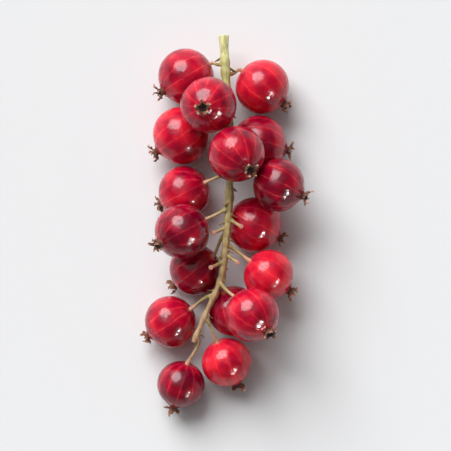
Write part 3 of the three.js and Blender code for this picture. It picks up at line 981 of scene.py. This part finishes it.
def main_surface(look):
    """The main stem: a round tube with low ribs that wind slowly round it, and a hollowed cut face."""
    share = np.linspace(0, 1, len(STEM_LINE))
    turn = np.linspace(0, 2 * np.pi, STEM_COLUMNS, endpoint=False)
    ribs = look.rib * np.cos(RIBS * turn + 4 * share[:, None]) * (0.6 + 0.4 * np.sin(31 * share[:, None]))
    radius = stem_radius(share)[:, None] + ribs
    tangent = unit(np.gradient(STEM_LINE, axis=0))
    inside = STEM_LINE[0] + CUT_FACE[:, 1:] * MM * tangent[0]
    line = np.vstack([inside, STEM_LINE])
    radius = np.vstack([CUT_FACE[:, :1] * radius[0], radius])
    tangent = np.vstack([np.repeat(tangent[:1], len(CUT_FACE), axis=0), tangent])
    return closed_rings(sweep(line, radius, radius, STEM_COLUMNS, UP, tangent=tangent))


def nearest(points, samples, radii):
    """For each point, the index of the sample whose ball of its own radius is nearest, a few thousand at a time."""
    found = []
    for chunk in np.array_split(points, len(points) // CHUNK + 1):
        squared = (chunk**2).sum(1)[:, None] + (samples**2).sum(1) - 2 * chunk @ samples.T
        found.append((np.sqrt(np.maximum(squared, 0)) - radii).argmin(1))
    return np.concatenate(found)


def joined(mesh, look):
    """The mesh's overlapping tubes grown into one smooth skin, by a voxel remesh and a light smoothing."""
    rough = bpy.data.objects.new("rough_stem", mesh)
    bpy.context.scene.collection.objects.link(rough)
    remesh = rough.modifiers.new("join", "REMESH")
    remesh.mode = "VOXEL"
    remesh.voxel_size = look.voxel
    remesh.use_smooth_shade = True
    relax = rough.modifiers.new("relax", "SMOOTH")
    relax.factor = 0.5
    relax.iterations = 3
    bpy.context.view_layer.update()
    skin = bpy.data.meshes.new_from_object(rough.evaluated_get(bpy.context.evaluated_depsgraph_get()))
    bpy.data.objects.remove(rough)
    skin.name = "sprig_stem"
    return skin


class REDCURRANT_OT_add_stem(bpy.types.Operator):
    """Add the stem with its side stalks and bracts, grown as one piece"""

    bl_idname = "redcurrant.add_stem"
    bl_label = "Add Stem"

    def execute(self, context):
        look = context.scene.redcurrant_stem
        fruit, bare = fruit_roots(), bare_roots()
        lines = [fruit_line(root, *place) for root, place in zip(fruit, PLACES)] + [bare_line(root) for root in bare]
        surfaces = [main_surface(look), *map(stalk_surface, lines), *map(bract_surface, fruit + bare)]
        skin = joined(make_mesh("rough_stem", surfaces), look)

        points = np.empty(len(skin.vertices) * 3, np.float32)
        skin.vertices.foreach_get("co", points)
        points = points.reshape(-1, 3).astype(float)
        stem = STEM_LINE[::3]
        stalks = np.vstack(lines)
        # A bract's first three points lie inside the stem.
        scales = np.vstack([bract_line(root)[3:] for root in fruit + bare])
        radii = np.concatenate([
            stem_radius(np.linspace(0, 1, len(stem))),
            np.full(len(stalks), STALK_RADIUS * MM),
            np.full(len(scales), BRACT_THICKNESS * MM),
        ])
        found = nearest(points, np.vstack([stem, stalks, scales]), radii)
        along = np.concatenate([np.linspace(0, 1, len(stem)), np.ones(len(stalks) + len(scales))])
        stalk = np.concatenate([
            np.zeros(len(stem)), *[np.linspace(0, 1, len(line)) for line in lines], np.zeros(len(scales))
        ])
        bract = np.concatenate([np.zeros(len(stem) + len(stalks)), np.full(len(scales), BRACT_DRYNESS)])
        for name, numbers in (("along", along), ("stalk", stalk), ("bract", bract)):
            set_value(skin, name, numbers[found])
        add_piece("sprig_stem", skin, green_stem_bark(look), "stem_bark", "stem")
        return {"FINISHED"}


# ----------------------------------------
# Stage


def add_light(name, heading, elevation, spread, strength, tint="#FFFFFF"):
    """A distant light, and the object that carries it. Its angles are in degrees."""
    light = bpy.data.lights.new(name, "SUN")
    light.energy = strength
    light.angle = np.radians(spread)
    light.color = linear(tint)[:3]
    lamp = bpy.data.objects.new(name, light)
    lamp.rotation_euler = (np.radians(90 - elevation), 0, np.radians(heading + 90))
    bpy.context.scene.collection.objects.link(lamp)
    return lamp


def add_lights(look):
    """Soft light from the window and the haze round it, and two small lamps that only glint on the berries."""
    for name, (heading, elevation, spread, share) in SOFT_LIGHTS.items():
        add_light(name, heading, elevation, spread, share * look.window, WINDOW_TINT)
    for name, place in LAMPS.items():
        add_light(name, *place).visible_diffuse = False


def add_studio(look):
    """Light from all around: white at the level of the table, fading to the ceiling's dimmer light."""
    world = bpy.data.worlds.new("studio")
    world.use_nodes = True
    tree = world.node_tree
    tree.nodes.clear()
    place = add(tree, "ShaderNodeTexCoord")
    split = add(tree, "ShaderNodeSeparateXYZ", {0: (place, "Generated")})
    level = ease(tree, (split, "Z"), 0.0, 0.36, look.walls, look.ceiling)
    walls = add(tree, "ShaderNodeBackground", {"Color": (1, 1, 1, 1), "Strength": (level, 0)})
    add(tree, "ShaderNodeOutputWorld", {"Surface": (walls, 0)})
    return world


class REDCURRANT_OT_add_stage(bpy.types.Operator):
    """Add the pale floor, the soft lights and the camera above the sprig"""

    bl_idname = "redcurrant.add_stage"
    bl_label = "Add Stage"

    def execute(self, context):
        look = context.scene.redcurrant_stage
        scene = context.scene
        low, high = (np.array(corner) for corner in CAD_BOX)
        middle = (low + high) / 2

        floor_mesh = bpy.data.meshes.new("floor")
        floor_corners = [(x * FLOOR_EDGE, y * FLOOR_EDGE, low[2]) for x, y in ((-1, -1), (1, -1), (1, 1), (-1, 1))]
        floor_mesh.from_pydata(floor_corners, [], [(0, 1, 2, 3)])
        floor_mesh.materials.append(matte_white_board(look))
        floor = bpy.data.objects.new("floor", floor_mesh)
        scene.collection.objects.link(floor)

        lens_data = bpy.data.cameras.new("camera")
        camera = bpy.data.objects.new("camera", lens_data)
        scene.collection.objects.link(camera)
        scene.camera = camera
        view_height = (high[1] - low[1]) / look.fill
        lens_data.sensor_width = SENSOR_WIDTH
        lens_data.lens = SENSOR_WIDTH * look.distance / view_height
        lens_data.clip_start = NEAREST
        away = np.array([0, -np.cos(look.elevation), np.sin(look.elevation)])
        camera.location = middle + look.distance * away
        target = type(camera.location)(middle)
        camera.rotation_euler = (target - camera.location).to_track_quat("-Z", "Y").to_euler()

        add_lights(look)
        scene.world = add_studio(look)
        scene.view_settings.view_transform = "Standard"
        return {"FINISHED"}


# ----------------------------------------
# Panel and registration


class REDCURRANT_PT_sprig(bpy.types.Panel):
    """Lists what makes up the sprig"""

    bl_idname = "REDCURRANT_PT_sprig"
    bl_label = "Sprig of Redcurrants"
    bl_space_type = "VIEW_3D"
    bl_region_type = "UI"
    bl_category = "Redcurrants"

    def draw(self, context):
        for operator in OPERATORS:
            self.layout.operator(operator.bl_idname)


OPERATORS = (
    REDCURRANT_OT_add_stage,
    REDCURRANT_OT_add_stem,
    REDCURRANT_OT_add_berries,
    REDCURRANT_OT_add_dried_flowers,
)
LOOKS = {
    "redcurrant_berries": BerryLook,
    "redcurrant_flowers": FlowerLook,
    "redcurrant_stem": StemLook,
    "redcurrant_stage": StageLook,
}


def register():
    """Registers the settings, the operators and the panel."""
    for name, look in LOOKS.items():
        bpy.utils.register_class(look)
        setattr(bpy.types.Scene, name, bpy.props.PointerProperty(type=look))
    for operator in OPERATORS:
        bpy.utils.register_class(operator)
    bpy.utils.register_class(REDCURRANT_PT_sprig)


def unregister():
    """Takes back what register made."""
    bpy.utils.unregister_class(REDCURRANT_PT_sprig)
    for operator in reversed(OPERATORS):
        bpy.utils.unregister_class(operator)
    for name, look in reversed(LOOKS.items()):
        delattr(bpy.types.Scene, name)
        bpy.utils.unregister_class(look)


def main():
    """Builds the sprig and its stage."""
    register()
    bpy.ops.redcurrant.add_stage()
    bpy.ops.redcurrant.add_stem()
    bpy.ops.redcurrant.add_berries()
    bpy.ops.redcurrant.add_dried_flowers()
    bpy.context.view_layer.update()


if __name__ == "__main__":
    main()
